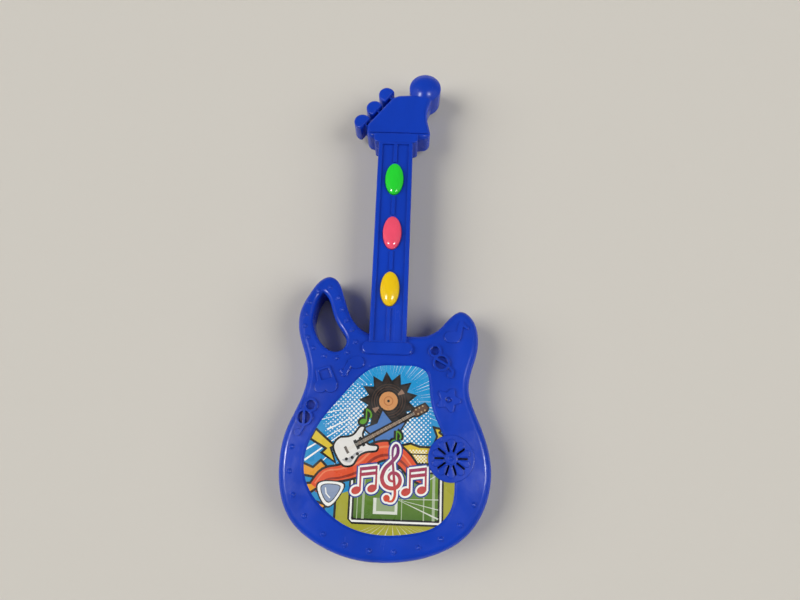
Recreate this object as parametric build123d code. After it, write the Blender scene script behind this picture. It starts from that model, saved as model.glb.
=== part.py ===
from build123d import *
import math
import os

# Toy electric guitar: a two-part moulded case with three push buttons, a printed label, a small speaker,
# two circuit boards and a battery well.
# Frame: X across the neck, Y along the neck towards the head, Z out of the front. The origin lies on the
# flat back face, on the neck's centre line. All sizes are in millimetres.

# ---------------------------------------------------------------- driving dimensions
WALL = 2.0
BODY_TOP = 22.0
PARTING_Z = 11.0
BODY_EDGE_R = 4.0
BODY_CEILING = 19.6

NECK_HALF = 11.6
NECK_START_Y = 46.6
NECK_END_Y = 186.0
NECK_UNDER_Z = 3.5
NECK_FLOOR_Z = 23.0
NECK_CEILING = 21.0
RAIL_TOP_Z = 24.0
RAIL_WIDTH = 2.7
RIB_WIDTH = 2.3
RAIL_END_Y = 183.0

NUT_HALF = 14.8
NUT_Y = (184.0, 191.2)
NUT_TOP_Z = 24.3
NUT_GROOVE = (1.5, 0.8)

HEAD_UNDER_Z = 3.0
HEAD_TOP_Z = 22.8
HEAD_EDGE_R = 3.0
HEAD_CEILING = 20.6
BALL_CENTRE = (18.9, 229.3)
BALL_R = 11.0
BALL_CAP_R = 15.7
BALL_APEX_Z = 25.5

PEG_R = 5.6
PEG_CENTRES = [(-23.8, 201.6), (-15.9, 212.5), (-7.8, 223.4)]
PEG_FLAT = 2.6
PEG_Z = (5.0, 21.5)
PEG_LINE_DEG = 52.3
PEG_RIB_WIDTH = 1.2

BUTTONS = {"yellow": 80.9, "pink": 118.8, "green": 157.1}
BUTTON_HALF = (6.0, 11.3)
BUTTON_APEX_Z = 26.3
BUTTON_CROWN = 4.0
BUTTON_SPREAD = 1.14
BUTTON_EDGE_R = 1.2
BUTTON_GAP = 0.25
FLANGE_Z = (19.7, 20.9)
FLANGE_HALF = (7.6, 13.0)
PLUNGER_R = 3.0

BOARD_Z = (12.3, 13.5)
DOME_TOP_Z = 17.5
DOME_CEILING_Z = 16.3
PILL_LOW_Z = 15.05
NECK_BOARD_HALF_X = 8.2
NECK_BOARD_Y = (68.0, 170.0)
NECK_BOARD_SCREWS = [99.2, 137.2]
MAIN_BOARD_X = (-28.0, 12.0)
MAIN_BOARD_Y = (-6.0, 22.0)
MAIN_BOARD_SCREWS = [(-25.0, 19.0), (9.0, 19.0), (-10.0, -3.2)]

LABEL_FLOOR_Z = 21.2
LABEL_THICKNESS = 0.2
LABEL_BEVEL = 1.6
SPEAKER = (40.0, -21.2)
BOSS_R = 13.6
BOSS_TOP = 22.4
SLOT_COUNT = 10
SLOT_R = (3.8, 9.9)
SLOT_WIDTH = 1.15
HUB_R = 3.4
HUB_HEIGHT = 0.5
RELIEF = 1.0
RELIEF_EDGE_R = 0.45
LOOP_RIM = 1.4
LOOP_DEPTH = 1.5
RIVET_HALF = 1.65
RIVET_HEIGHT = 0.85
HOLE_EDGE_R = 2.0

SPEAKER_R = 13.4
SPEAKER_RIM_Z = 18.4
SPEAKER_SCREW_R = 15.8
SPEAKER_SCREW_DEG = [60, 240]

WELL_CENTRE = (-10.0, -35.0)
WELL_HALF = (10.0, 6.1)
WELL_WALL = 1.5
WELL_CEILING = 14.2
COVER_HALF = (19.0, 8.0)
COVER_Z = (0.3, 2.3)
COVER_GAP = 0.2
COVER_SCREW_X = 14.6
CELL_R = 5.8
CELL_LENGTH = 5.4
CELL_COUNT = 3
CONTACT_THICKNESS = 0.5

CHIP_PLACE = (-14.0, 8.0)
CAPACITOR_PLACE = (3.0, 5.0)
CAPACITOR_R = 2.5
CAPACITOR_LENGTH = 5.0
RESISTOR_PLACE = (-14.0, 0.0)
RESISTOR_DROP = 1.4
RESISTOR_LEAD_X = 3.6

BODY_POSTS = [(-40, -58), (42, -58), (-41, 25), (41, 25), (45, 56)]
NECK_POSTS = [(0, 60), (0, 177)]
HEAD_POSTS = [(2, 206)]
BODY_SEAT_Z = 5.0
NECK_SEAT_Z = 7.0
POST_R = 3.0
TUBE_R = 3.8
PILOT_R = 1.15
SHANK_R = 1.13
COUNTERBORE_R = 2.8
WIRE_R = 0.5

BODY_OUTLINE = [
    (0.9, -79.7), (-19.1, -77.4), (-37.6, -70.0), (-52.1, -58.5), (-59.6, -42.0), (-61.2, -25.0),
    (-59.3, -10.0), (-52.0, 9.0), (-48.5, 25.0), (-50.6, 37.0), (-55.6, 52.0), (-55.6, 67.0),
    (-50.4, 78.4), (-43.6, 87.2), (-39.1, 89.0), (-34.6, 87.4), (-31.0, 81.8), (-28.1, 73.2),
    (-24.6, 64.5), (-19.1, 57.0), (-11.6, 52.6), (0.0, 51.5), (14.0, 51.8), (24.0, 52.5),
    (31.0, 56.2), (39.6, 65.4), (45.6, 68.6), (51.2, 65.6), (55.7, 56.0), (55.4, 42.0),
    (51.6, 29.0), (50.6, 19.0), (53.6, 8.0), (60.4, -9.0), (63.9, -27.0), (60.9, -46.0),
    (48.9, -64.5), (31.5, -74.5), (17.0, -78.3),
]
HORN_HOLE = [
    (-41.6, 77.6), (-38.9, 74.8), (-35.1, 65.0), (-30.2, 55.4), (-25.6, 46.6), (-27.4, 42.2),
    (-33.2, 40.3), (-39.0, 43.0), (-44.8, 50.4), (-47.8, 60.0), (-46.9, 68.0), (-44.6, 75.0),
]
LABEL_OUTLINE = [
    (-8.2, 30.6), (-2.5, 32.3), (8.0, 32.6), (18.9, 32.2), (23.9, 29.6), (26.4, 21.0), (28.9, 6.0),
    (33.4, -4.0), (38.4, -16.0), (41.6, -28.0), (42.2, -38.0), (39.9, -50.0), (31.9, -58.8),
    (19.0, -63.1), (0.9, -64.7), (-17.0, -61.3), (-31.0, -53.1), (-41.2, -42.4), (-46.0, -29.5),
    (-45.0, -18.0), (-37.1, -1.0), (-23.0, 17.0),
]
HEAD_CORNERS = [
    (-12.0, 188.0, 0), (-20.2, 189.6, 5.0), (-20.2, 199.4, 4.0), (-4.0, 220.5, 4.0), (0.5, 222.7, 8.0),
    (14.0, 223.6, 0), (24.6, 222.0, 0), (20.6, 211.5, 20.0), (21.0, 203.0, 20.0), (24.4, 189.4, 5.0),
    (12.0, 188.0, 0),
]
RIVETS = [
    (-38.0, 81.2), (-32.3, 74.3), (-29.4, 66.8), (-26.2, 60.0), (-22.2, 54.0), (-19.8, 46.4),
    (-24.6, 39.7), (-31.1, 36.0), (-38.7, 36.9), (-45.9, 41.8), (-49.8, 48.4), (-51.9, 55.5),
    (-52.0, 63.0), (-50.2, 70.9), (-45.2, 78.4),
    (-53.9, -17.6), (-54.1, -31.6), (-50.9, -44.6), (-43.4, -56.0), (-32.2, -65.2), (-19.5, -70.5),
    (-5.6, -73.3), (8.3, -73.3), (22.0, -70.5), (34.8, -65.5), (45.7, -57.8), (53.4, -46.4),
]

FAR = 400.0


# ---------------------------------------------------------------- helpers
def spline_face(points):
    """Flat face inside one smooth closed curve through the points."""
    return make_face(Spline(*points, periodic=True))


def shifted_face(points, amount):
    """Face inside the smooth curve through clockwise points, moved outwards by an amount."""
    curve = Spline(*points, periodic=True)
    count = 2 * len(points)
    moved = []
    for index in range(count):
        place = curve @ (index / count)
        along = curve % (index / count)
        moved.append((place.X - along.Y * amount, place.Y + along.X * amount))
    return spline_face(moved)


def rounded_polygon(corners):
    """Flat face inside a polygon of (x, y, radius) corners, each rounded by a tangent arc."""
    edges = []
    last = None
    first = None
    count = len(corners)
    for index, (x, y, radius) in enumerate(corners):
        corner = Vector(x, y)
        back = (Vector(*corners[index - 1][:2]) - corner).normalized()
        ahead = (Vector(*corners[(index + 1) % count][:2]) - corner).normalized()
        half = math.radians(back.get_angle(ahead)) / 2
        reach = radius / math.tan(half)
        start = corner + back * reach
        end = corner + ahead * reach
        if last is not None:
            edges.append(Line(last, start))
        if radius:
            middle = corner + (back + ahead).normalized() * (radius / math.sin(half) - radius)
            edges.append(ThreePointArc(start, middle, end))
        first = first or start
        last = end
    edges.append(Line(last, first))
    return make_face(edges)


def prism(face, z_low, z_high):
    """Solid over a flat face, from one height to another."""
    return extrude(Pos(0, 0, z_low) * face, z_high - z_low, dir=(0, 0, 1))


def cylinder(x, y, radius, z_low, z_high):
    """Upright cylinder between two heights."""
    return Pos(x, y, (z_low + z_high) / 2) * Cylinder(radius, z_high - z_low)


def block(x_low, x_high, y_low, y_high, z_low, z_high):
    """Box between two corners."""
    centre = Pos((x_low + x_high) / 2, (y_low + y_high) / 2, (z_low + z_high) / 2)
    return centre * Box(x_high - x_low, y_high - y_low, z_high - z_low)


def above(z):
    return block(-FAR, FAR, -FAR, FAR, z, FAR)


def below(z):
    return block(-FAR, FAR, -FAR, FAR, -FAR, z)


def oval(half_x, half_y, y, grow=0.0):
    """Elliptical face on the neck's centre line."""
    return Pos(0, y) * Rot(0, 0, 90) * Ellipse(half_y + grow, half_x + grow)


def tube(points, radii, radius=WIRE_R):
    """Round wire along straight runs joined by tangent arcs."""
    path = FilletPolyline(*points, radius=radii)
    start = Plane(origin=path @ 0, z_dir=path % 0)
    return sweep(start * Circle(radius), path)


def bar_face(start, end, width):
    """Round-ended bar between two points."""
    run = Vector(*end) - Vector(*start)
    turn = math.degrees(math.atan2(run.Y, run.X))
    middle = (Vector(*start) + Vector(*end)) * 0.5
    return Pos(middle.X, middle.Y) * Rot(0, 0, turn) * SlotCenterToCenter(run.length, width)


def ring_face(centre, radius, width):
    """Flat ring of a middle radius and a width."""
    return Pos(*centre) * (Circle(radius + width / 2) - Circle(radius - width / 2))


def low_dome(x, y, base, half, height):
    """Spherical cap that is wide by twice half and stands height over its base."""
    ball_r = (half * half + height * height) / (2 * height)
    ball = Pos(x, y, base + height - ball_r) * Sphere(ball_r)
    return ball & above(base - 0.3)


def rivet(x, y):
    """Low round bump on the body's top face."""
    return low_dome(x, y, BODY_TOP, RIVET_HALF, RIVET_HEIGHT)


# ---------------------------------------------------------------- case, outside
body_face = spline_face(BODY_OUTLINE)
hole_face = spline_face(HORN_HOLE)
head_face = rounded_polygon(HEAD_CORNERS)


def level_edges(solid, z):
    return [e for e in solid.edges() if abs(e.bounding_box().min.Z - z) < 1e-3
            and abs(e.bounding_box().max.Z - z) < 1e-3]


def body_outside():
    """Body slab with rounded top and bottom edges and the finger hole through the long horn."""
    slab = prism(body_face, 0, BODY_TOP)
    slab = fillet(level_edges(slab, BODY_TOP) + level_edges(slab, 0), BODY_EDGE_R)
    slab -= prism(hole_face, -1, BODY_TOP + 1)
    rims = [e for e in level_edges(slab, BODY_TOP) + level_edges(slab, 0) if e.length < 120]
    return fillet(rims, HOLE_EDGE_R)


def neck_outside():
    """Straight neck: flat rails on top, rounded underside."""
    top = block(-NECK_HALF, NECK_HALF, NECK_START_Y, NECK_END_Y, PARTING_Z, RAIL_TOP_Z)
    top = fillet([e for e in level_edges(top, RAIL_TOP_Z) if e.length > 50], 0.9)
    under = block(-NECK_HALF, NECK_HALF, NECK_START_Y - 6, NECK_END_Y, NECK_UNDER_Z, PARTING_Z)
    under = fillet([e for e in level_edges(under, NECK_UNDER_Z) if e.length > 50], 5.5)
    return top + under


def nut_outside():
    """Wider block where the neck meets the head."""
    low, high = NUT_Y
    outline = rounded_polygon([
        (-NECK_HALF + 1, low, 0), (-NUT_HALF, low + 1.2, 2.5), (-NUT_HALF, high, 0.8), (NUT_HALF, high, 0.8),
        (NUT_HALF, low + 1.2, 2.5), (NECK_HALF - 1, low, 0),
    ])
    nut = prism(outline, HEAD_UNDER_Z, NUT_TOP_Z)
    return fillet(level_edges(nut, NUT_TOP_Z) + level_edges(nut, HEAD_UNDER_Z), 0.7)


def head_outside():
    """Head plate with rounded edges, and the domed scroll disc at its corner."""
    plate = prism(head_face, HEAD_UNDER_Z, HEAD_TOP_Z)
    plate = fillet(level_edges(plate, HEAD_TOP_Z) + level_edges(plate, HEAD_UNDER_Z), HEAD_EDGE_R)
    disc = cylinder(*BALL_CENTRE, BALL_R, HEAD_UNDER_Z, FAR / 10)
    disc &= Pos(*BALL_CENTRE, BALL_APEX_Z - BALL_CAP_R) * Sphere(BALL_CAP_R)
    return plate + fillet(disc.edges().filter_by(GeomType.CIRCLE), 1.5)


def peg_face(shrink=0.0):
    """D-shaped peg end, its flat side towards -Y before it is turned."""
    keep = Pos(0, 50 - PEG_FLAT + shrink) * Rectangle(100, 100)
    return Circle(PEG_R - shrink) & keep


def peg_place(centre):
    return Pos(*centre) * Rot(0, 0, PEG_LINE_DEG)


def pegs_outside():
    """Three moulded peg shapes, each joined to the head by a thin rib."""
    shapes = []
    for centre in PEG_CENTRES:
        peg = prism(peg_face(), PEG_Z[0], PEG_Z[1])
        peg = fillet(level_edges(peg, PEG_Z[1]) + level_edges(peg, PEG_Z[0]), 1.2)
        rib = block(-PEG_RIB_WIDTH / 2, PEG_RIB_WIDTH / 2, -6.2, -1.0, PEG_Z[0] + 1.5, PEG_Z[1] - 1.5)
        shapes.append(peg_place(centre) * (peg + rib))
    return shapes


def case_outside():
    shape = body_outside() + neck_outside() + nut_outside() + head_outside()
    width, depth = NUT_GROOVE
    shape -= block(-FAR, FAR, NUT_Y[1], NUT_Y[1] + width, HEAD_TOP_Z - depth, FAR)
    return shape + pegs_outside()


# ---------------------------------------------------------------- case, inside
def case_cavity():
    """Hollow of both shells: body, neck, head, scroll disc and pegs, two millimetres inside the outside."""
    body_inner = shifted_face(BODY_OUTLINE, -WALL)
    hole_wall = shifted_face(HORN_HOLE, WALL)
    cavity = prism(body_inner - hole_wall, WALL, BODY_CEILING)
    inner = NECK_HALF - WALL
    cavity += block(-inner, inner, NECK_START_Y - 4, NUT_Y[1] + 3, NECK_UNDER_Z + WALL, NECK_CEILING)
    cavity += prism(offset(head_face, amount=-WALL), HEAD_UNDER_Z + WALL, HEAD_CEILING)
    disc = cylinder(*BALL_CENTRE, BALL_R - WALL, HEAD_UNDER_Z + WALL, FAR / 10)
    cavity += disc & (Pos(*BALL_CENTRE, BALL_APEX_Z - BALL_CAP_R) * Sphere(BALL_CAP_R - WALL))
    for centre in PEG_CENTRES:
        cavity += peg_place(centre) * prism(peg_face(WALL), PEG_Z[0] + WALL, PEG_Z[1] - WALL)
    return cavity


def case_posts():
    """Every case screw: x, y, height of the underside, of the ceiling and of the screw head's seat."""
    posts = [(x, y, 0.0, BODY_CEILING, BODY_SEAT_Z) for x, y in BODY_POSTS]
    posts += [(x, y, NECK_UNDER_Z, NECK_CEILING, NECK_SEAT_Z) for x, y in NECK_POSTS]
    return posts + [(x, y, HEAD_UNDER_Z, HEAD_CEILING, NECK_SEAT_Z) for x, y in HEAD_POSTS]


# ---------------------------------------------------------------- front shell
def raised(face, base=BODY_TOP):
    """Low raised shape on a top face, with a softened upper edge."""
    shape = prism(face, base - 0.4, base + RELIEF)
    return fillet(level_edges(shape, base + RELIEF), RELIEF_EDGE_R)


def music_notes():
    """Eighth note and beamed pair on the left, eighth note on the right horn."""
    frame = rounded_polygon([(-43.3, 28.5, 0.9), (-34.5, 31.6, 0.9), (-28.9, 19.6, 2.0), (-33.0, 17.0, 1.0),
                             (-40.6, 17.0, 1.0)])
    window = rounded_polygon([(-41.1, 27.5, 0.5), (-35.6, 29.5, 0.5), (-33.0, 24.0, 0.5), (-39.0, 22.2, 0.5)])
    faces = [
        bar_face((-19.2, 33.5), (-17.4, 33.9), 7.6),
        bar_face((-22.1, 34.2), (-25.5, 26.4), 3.2),
        bar_face((-25.9, 26.4), (-27.5, 28.5), 1.8),
        frame - window,
        Pos(-39.3, 18.2) * Circle(3.9),
        Pos(-33.3, 18.6) * Circle(3.9),
        bar_face((38.7, 51.4), (41.2, 51.5), 7.4),
        bar_face((43.6, 51.8), (45.3, 60.0), 3.2),
        bar_face((45.6, 60.2), (48.8, 57.6), 2.2),
    ]
    return [raised(face) for face in faces]


def loops():
    """Centre and inner radius of the clefs' two sunk loops, left pair first."""
    return [((-44.5, 7.0), 2.8), ((-48.0, -0.3), 3.8), ((29.4, 42.4), 2.7), ((33.4, 35.2), 3.9)]


def loop_ring(index):
    """Raised rim round one loop."""
    centre, inner_r = loops()[index]
    return ring_face(centre, inner_r + LOOP_RIM / 2, LOOP_RIM)


def left_clef():
    shape = loop_ring(0) + loop_ring(1)
    shape += bar_face((-48.2, 4.4), (-48.0, -6.0), LOOP_RIM)
    shape += bar_face((-48.0, -6.0), (-49.2, -8.6), LOOP_RIM)
    return shape + Pos(-51.0, -9.2) * Circle(2.0)


def right_clef():
    shape = loop_ring(2) + loop_ring(3)
    shape += bar_face((29.8, 37.6), (37.6, 33.6), LOOP_RIM)
    shape += bar_face((37.4, 33.4), (40.4, 30.4), LOOP_RIM) + bar_face((40.4, 30.4), (40.2, 27.8), LOOP_RIM)
    return shape + Pos(38.9, 27.6) * Circle(1.8)


def star():
    """Five-armed star with round tips and a small ring groove in its middle."""
    arm = make_hull(Circle(4.1).edges() + (Pos(5.9, 0) * Circle(1.6)).edges())
    shape = Circle(4.1)
    for index in range(5):
        shape += Rot(0, 0, 68 + 72 * index) * arm
    return Pos(38.1, 12.8) * (shape - (Circle(1.7) - Circle(1.0)))


def grille(shell):
    """Speaker grille: a raised boss with radial slots, petals between them and a hub with a nub."""
    boss = cylinder(*SPEAKER, BOSS_R, BODY_TOP - 0.5, BOSS_TOP)
    shell += fillet(level_edges(boss, BOSS_TOP), 0.35)
    step = 360 / SLOT_COUNT
    spoke = Pos((SLOT_R[0] + SLOT_R[1]) / 2, 0) * SlotOverall(SLOT_R[1] - SLOT_R[0], SLOT_WIDTH)
    petal = make_hull((Pos(5.2, 0) * Circle(0.6)).edges() + (Pos(9.4, 0) * Circle(1.95)).edges())
    solid_petal = raised(petal, BOSS_TOP - 0.3)
    slots = []
    petals = []
    for index in range(SLOT_COUNT):
        turn = Pos(*SPEAKER) * Rot(0, 0, step * index)
        slots.append(turn * prism(spoke, BODY_CEILING - 1, BODY_TOP + 2))
        petals.append(turn * Rot(0, 0, step / 2) * solid_petal)
    hub = cylinder(*SPEAKER, HUB_R, BOSS_TOP - 0.3, BOSS_TOP + HUB_HEIGHT)
    hub = fillet(level_edges(hub, BOSS_TOP + HUB_HEIGHT), 0.35)
    nub = low_dome(*SPEAKER, BOSS_TOP + HUB_HEIGHT, RIVET_HALF, RIVET_HEIGHT)
    return shell + petals - slots + hub + nub


def front_shell(outside, cavity):
    shell = (outside & above(PARTING_Z)) - (cavity & above(PARTING_Z - 1))
    shell = shell + front_bosses() - front_pilots()
    # Neck top: a floor between two side rails, with a middle rib broken by the buttons.
    inner = NECK_HALF - RAIL_WIDTH
    shell -= block(-inner, inner, NECK_START_Y + 1, RAIL_END_Y, NECK_FLOOR_Z, FAR)
    half = RIB_WIDTH / 2
    rib = block(-half, half, NECK_START_Y + 1, RAIL_END_Y, NECK_FLOOR_Z - 0.5, RAIL_TOP_Z - 0.2)
    for y in BUTTONS.values():
        rib -= prism(oval(*BUTTON_HALF, y, 1.2), NECK_CEILING, FAR)
    shell += rib
    for y in BUTTONS.values():
        shell -= prism(oval(*BUTTON_HALF, y, BUTTON_GAP), NECK_CEILING - 1, FAR)
    # Round-ended bar across the foot of the neck.
    bar = prism(Pos(0, 43) * SlotOverall(31.6, 8.0), BODY_TOP - 0.5, BODY_TOP + 1.8)
    shell += fillet(level_edges(bar, BODY_TOP + 1.8), 1.0)
    # Raised ornaments.
    shell += music_notes() + [raised(star())]
    for centre, radius in loops():
        shell -= cylinder(*centre, radius, BODY_TOP - LOOP_DEPTH, FAR)
    for clef in (left_clef(), right_clef()):
        shell += prism(clef, BODY_TOP - 1.0, BODY_TOP + RELIEF)
    shell += [rivet(x, y) for x, y in RIVETS]
    return grille(shell) - label_recess()


def label_face():
    """Egg-shaped label, cut back where the speaker boss stands."""
    return spline_face(LABEL_OUTLINE) - Pos(*SPEAKER) * Circle(BOSS_R)


def label_recess():
    """Recess that the label lies in, with a bevelled step round it, cut back at the speaker boss."""
    low = Pos(0, 0, LABEL_FLOOR_Z) * shifted_face(LABEL_OUTLINE, 0.1)
    high = Pos(0, 0, BODY_TOP + 0.1) * shifted_face(LABEL_OUTLINE, LABEL_BEVEL)
    return loft([low, high]) - cylinder(*SPEAKER, BOSS_R - 0.1, 0, FAR)


def front_bosses():
    """Screw posts and locating ring inside the front shell."""
    bosses = []
    for x, y, _, ceiling, _ in case_posts():
        bosses.append(cylinder(x, y, POST_R, PARTING_Z, ceiling + 0.5))
    for y in NECK_BOARD_SCREWS:
        bosses.append(cylinder(0, y, 2.2, BOARD_Z[1], NECK_CEILING + 0.5))
    for x, y in MAIN_BOARD_SCREWS:
        bosses.append(cylinder(x, y, 2.2, BOARD_Z[1], BODY_CEILING + 0.5))
    ring = Pos(*SPEAKER, (SPEAKER_RIM_Z + BODY_CEILING) / 2) * (
        Cylinder(SPEAKER_R + 1.4, BODY_CEILING - SPEAKER_RIM_Z)
        - Cylinder(SPEAKER_R + 0.1, BODY_CEILING - SPEAKER_RIM_Z))
    bosses.append(ring)
    for x, y in speaker_screw_places():
        bosses.append(cylinder(x, y, 2.0, SPEAKER_RIM_Z, BODY_CEILING + 0.5)
                      - cylinder(*SPEAKER, SPEAKER_R + 0.1, 0, FAR))
    return bosses


def front_pilots():
    """Blind pilot holes for every screw that bites into the front shell."""
    holes = []
    for x, y, *_ in case_posts():
        holes.append(cylinder(x, y, PILOT_R, PARTING_Z - 1, 18.4))
    for y in NECK_BOARD_SCREWS:
        holes.append(cylinder(0, y, 0.85, BOARD_Z[1] - 1, 19.5))
    for x, y in MAIN_BOARD_SCREWS:
        holes.append(cylinder(x, y, 0.85, BOARD_Z[1] - 1, 19.0))
    for x, y in speaker_screw_places():
        holes.append(cylinder(x, y, 0.85, SPEAKER_RIM_Z - 1, 21.0))
    return holes


def speaker_screw_places():
    places = []
    for turn in SPEAKER_SCREW_DEG:
        angle = math.radians(turn)
        x = SPEAKER[0] + SPEAKER_SCREW_R * math.cos(angle)
        y = SPEAKER[1] + SPEAKER_SCREW_R * math.sin(angle)
        places.append((x, y))
    return places


# ---------------------------------------------------------------- back shell
def cover_face(grow=0.0):
    half_x, half_y = COVER_HALF
    return Pos(*WELL_CENTRE) * RectangleRounded(2 * (half_x + grow), 2 * (half_y + grow), 2.0 + grow)


def cover_screw_places():
    return [(WELL_CENTRE[0] + side * COVER_SCREW_X, WELL_CENTRE[1]) for side in (-1, 1)]


def back_shell(outside, cavity):
    shell = (outside & below(PARTING_Z)) - (cavity & below(PARTING_Z + 1))
    cx, cy = WELL_CENTRE
    hx, hy = WELL_HALF
    wall = WELL_WALL
    shell += [cylinder(x, y, TUBE_R, under + 0.8, PARTING_Z) for x, y, under, _, _ in case_posts()]
    # Battery well: a thick frame round the cover, a box for the cells and two screw bosses.
    shell += prism(cover_face(COVER_GAP + 1.5), 1.0, COVER_Z[1] + 1.5)
    shell += block(cx - hx - wall, cx + hx + wall, cy - hy - wall, cy + hy + wall, 1.0, WELL_CEILING + wall)
    shell += [cylinder(x, y, 2.6, 1.0, 10.0) for x, y in cover_screw_places()]
    shell -= block(cx - hx, cx + hx, cy - hy, cy + hy, -1, WELL_CEILING)
    shell -= prism(cover_face(COVER_GAP), -1, COVER_Z[1])
    for side in (-1, 1):
        tab_x = cx + side * (hx - CONTACT_THICKNESS / 2)
        shell -= block(tab_x - 0.35, tab_x + 0.35, cy - 1.7, cy + 1.7, WELL_CEILING - 1, FAR)
    shell -= [cylinder(x, y, 1.05, COVER_Z[1] - 1, 9.0) for x, y in cover_screw_places()]
    for x, y, _, _, seat in case_posts():
        shell -= cylinder(x, y, COUNTERBORE_R, -1, seat)
        shell -= cylinder(x, y, 1.5, 0, PARTING_Z + 1)
    return shell


# ---------------------------------------------------------------- fasteners
def screw(x, y, seat, length, head_r, head_height, shank_r):
    """Cross-head screw, head down, its shank running up from the seat to a point."""
    head = cylinder(x, y, head_r, seat - head_height, seat)
    head = fillet(level_edges(head, seat - head_height), head_height * 0.45)
    slot = head_r * 1.15
    for size_x, size_y in ((slot, 0.5), (0.5, slot)):
        head -= Pos(x, y, seat - head_height) * Box(size_x, size_y, head_height * 0.9)
    tip = shank_r * 1.2
    shank = cylinder(x, y, shank_r, seat - 0.2, seat + length - tip)
    point = Pos(x, y, seat + length - tip / 2) * Cone(shank_r, 0.2, tip)
    return head + shank + point


def case_screws():
    screws = [screw(x, y, seat, 10.0, 2.5, 1.8, SHANK_R).solid() for x, y, _, _, seat in case_posts()]
    return Compound(screws)


def board_screws(places, seat, length):
    return Compound([screw(x, y, seat, length, 1.9, 1.2, 0.83).solid() for x, y in places])


def battery_cover_screws():
    seat = COVER_Z[0] + 1.1
    places = cover_screw_places()
    return Compound([screw(x, y, seat, 6.5, 2.0, 1.0, 0.97).solid() for x, y in places])


# ---------------------------------------------------------------- front trim and buttons
def picture_label():
    return prism(label_face(), LABEL_FLOOR_Z, LABEL_FLOOR_Z + LABEL_THICKNESS)


def button(y):
    """Oval cap with a crowned top and a rounded rim, a stop flange and a round plunger under it."""
    half_x, half_y = BUTTON_HALF
    crown = scale(Sphere(1.0), by=(half_x * BUTTON_SPREAD, half_y * BUTTON_SPREAD, BUTTON_CROWN))
    cap = prism(oval(half_x, half_y, y), FLANGE_Z[0], BUTTON_APEX_Z)
    cap &= Pos(0, y, BUTTON_APEX_Z - BUTTON_CROWN) * crown & above(FLANGE_Z[0])
    rim = [e for e in cap.edges() if e.length > half_y and e.bounding_box().min.Z > FLANGE_Z[1]]
    cap = fillet(rim, BUTTON_EDGE_R)
    cap += prism(oval(*FLANGE_HALF, y), *FLANGE_Z)
    return cap + cylinder(0, y, PLUNGER_R, DOME_TOP_Z, FLANGE_Z[0] + 0.5)


def dome(y):
    """Silicone return dome: a skirt on the board, a thin cone and a flat top."""
    base = BOARD_Z[1]
    outline = Polyline((4.6, base), (6.2, base), (6.2, base + 0.7), (5.0, base + 0.9), (3.5, base + 3.0),
                       (3.4, DOME_TOP_Z), (0, DOME_TOP_Z), (0, DOME_CEILING_Z), (2.8, DOME_CEILING_Z),
                       close=True)
    return Pos(0, y, 0) * revolve(Plane.XZ * make_face(outline), Axis.Z)


def pill(y):
    """Conductive pad under the dome's top."""
    return cylinder(0, y, 2.2, PILL_LOW_Z, DOME_CEILING_Z)


# ---------------------------------------------------------------- boards and their parts
def neck_board():
    board = block(-NECK_BOARD_HALF_X, NECK_BOARD_HALF_X, *NECK_BOARD_Y, *BOARD_Z)
    for y in NECK_BOARD_SCREWS:
        board -= cylinder(0, y, 1.0, 0, FAR)
    return board


def main_board():
    board = block(*MAIN_BOARD_X, *MAIN_BOARD_Y, *BOARD_Z)
    board = fillet(board.edges().filter_by(Axis.Z), 1.5)
    for x, y in MAIN_BOARD_SCREWS:
        board -= cylinder(x, y, 1.0, 0, FAR)
    return board


def sound_chip():
    """Black epoxy blob over the sound chip, on the board's underside."""
    return Pos(*CHIP_PLACE, BOARD_Z[0]) * (scale(Sphere(1.0), by=(4.5, 4.5, 1.6)) & below(0))


def capacitor():
    """Small electrolytic can hanging from the board."""
    x, y = CAPACITOR_PLACE
    top = BOARD_Z[0] - 0.4
    can = cylinder(x, y, CAPACITOR_R, top - CAPACITOR_LENGTH, top)
    can = fillet(level_edges(can, top - CAPACITOR_LENGTH), 0.5)
    legs = [cylinder(x + side, y, 0.25, top - 0.6, BOARD_Z[0]) for side in (-1, 1)]
    return can + legs


def resistor():
    """Axial resistor lying under the board on two bent legs."""
    x, y = RESISTOR_PLACE
    top = BOARD_Z[0]
    z = top - RESISTOR_DROP
    body = Pos(x, y, z) * Rot(0, 90, 0) * Cylinder(0.9, 4.0)
    body = fillet(body.edges().filter_by(GeomType.CIRCLE), 0.35)
    low_x = x - RESISTOR_LEAD_X
    high_x = x + RESISTOR_LEAD_X
    lead = tube([(low_x, y, top), (low_x, y, z), (high_x, y, z), (high_x, y, top)], [0.6, 0.6], 0.25)
    return body + lead


# ---------------------------------------------------------------- speaker
def turned(points):
    """Ring-shaped solid turned round the speaker's axis from (radius, height) points."""
    return Pos(*SPEAKER, 0) * revolve(Plane.XZ * make_face(Polyline(*points, close=True)), Axis.Z)


def speaker_basket():
    """Pressed frame: flat rim against the front wall and a cup with four windows."""
    rim = BODY_CEILING
    low = SPEAKER_RIM_Z
    frame = turned([(11.8, rim), (SPEAKER_R, rim), (SPEAKER_R, low), (12.2, low), (8.4, 14.0), (0, 14.0),
                    (0, 14.8), (7.9, 14.8), (11.4, low)])
    for index in range(4):
        turn = Pos(*SPEAKER, 0) * Rot(0, 0, 45 + 90 * index)
        frame -= turn * block(8.7, 11.0, -3.0, 3.0, 13.0, 17.9)
    x, y = SPEAKER
    return frame + block(x - 13.0, x - 10.9, y + 0.2, y + 6.2, 17.2, low)


def speaker_cone():
    """Thin cone with a dust cap in the middle."""
    skin = turned([(11.4, 19.3), (11.4, 19.0), (4.2, 16.4), (3.0, 16.4), (0, 17.1), (0, 17.5),
                   (3.2, 16.8), (4.1, 16.7)])
    return skin + turned([(2.4, 16.6), (3.2, 16.6), (3.2, 14.8), (2.4, 14.8)])


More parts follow.
